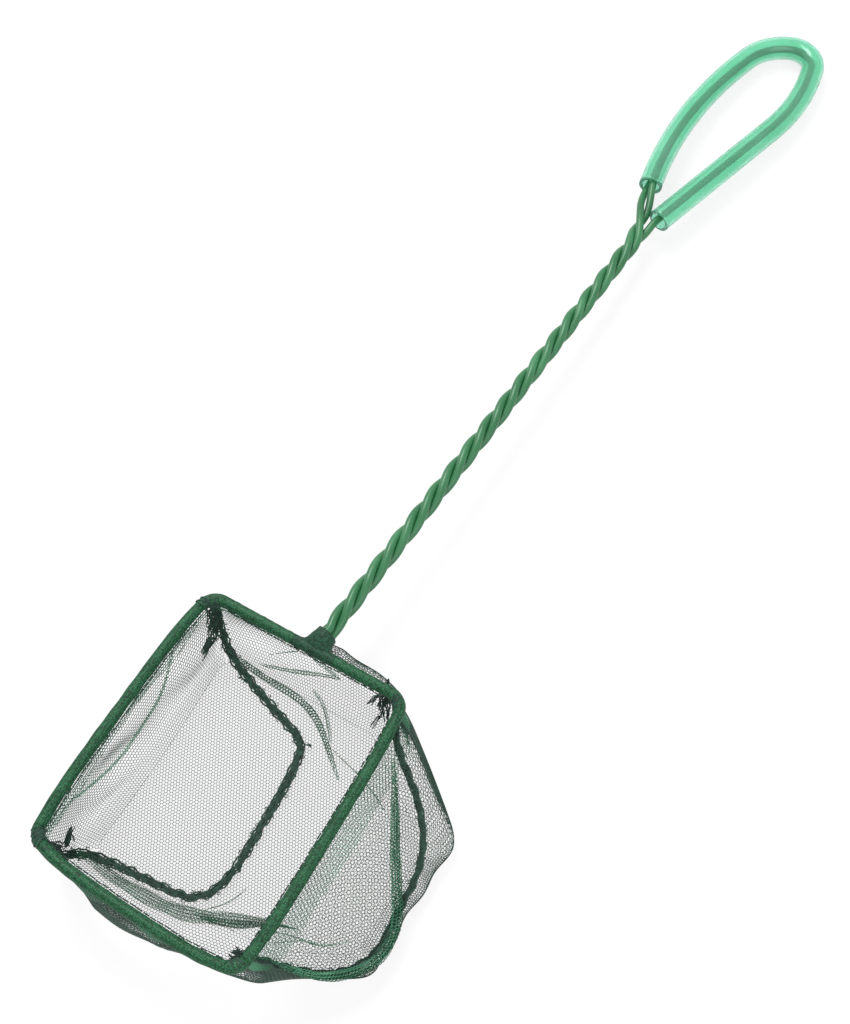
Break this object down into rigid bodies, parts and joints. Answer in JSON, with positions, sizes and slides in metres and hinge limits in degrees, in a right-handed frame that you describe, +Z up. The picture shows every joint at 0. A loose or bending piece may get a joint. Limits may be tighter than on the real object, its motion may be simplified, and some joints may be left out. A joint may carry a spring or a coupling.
{
  "type": "aquarium fish net",
  "caption": "Fish net with a square wire hoop, a handle twisted from the same coated wire, a clear sleeved grip loop and a slumped bag of fine net.",
  "frame": {"origin": "on the table, under the middle of the part's box", "axes": "+Z up from the table, +Y along the handle from the hoop to the grip loop, +X to the side the bag slumps to"},
  "size_m": [0.0894, 0.3342, 0.0225],
  "materials": {
    "steel": "drawn wire",
    "green_coat": "satin",
    "clear_mint_tube": "clear, glossy",
    "green_net": "fine knitted net",
    "green_hem": "doubled knit",
    "dark_thread": "sewing thread"
  },
  "bodies": {
    "root": {"wire_core": "steel", "wire_coating": "green_coat", "grip_tube": "clear_mint_tube", "main_net_panel": "green_net", "left_net_panel": "green_net", "right_net_panel": "green_net", "left_overlock_seam": "dark_thread", "right_overlock_seam": "dark_thread", "hem_left": "green_hem", "hem_right": "green_hem", "hem_far": "green_hem", "hem_handle_left": "green_hem", "hem_handle_right": "green_hem", "handle_collar": "green_hem", "corner_wrap_handle_left": "dark_thread", "corner_wrap_far_left": "dark_thread", "corner_wrap_far_right": "dark_thread", "corner_wrap_handle_right": "dark_thread", "hem_stitch_left": "dark_thread", "hem_stitch_right": "dark_thread", "hem_stitch_far": "dark_thread", "hem_stitch_handle": "dark_thread"}
  },
  "joints": []
}
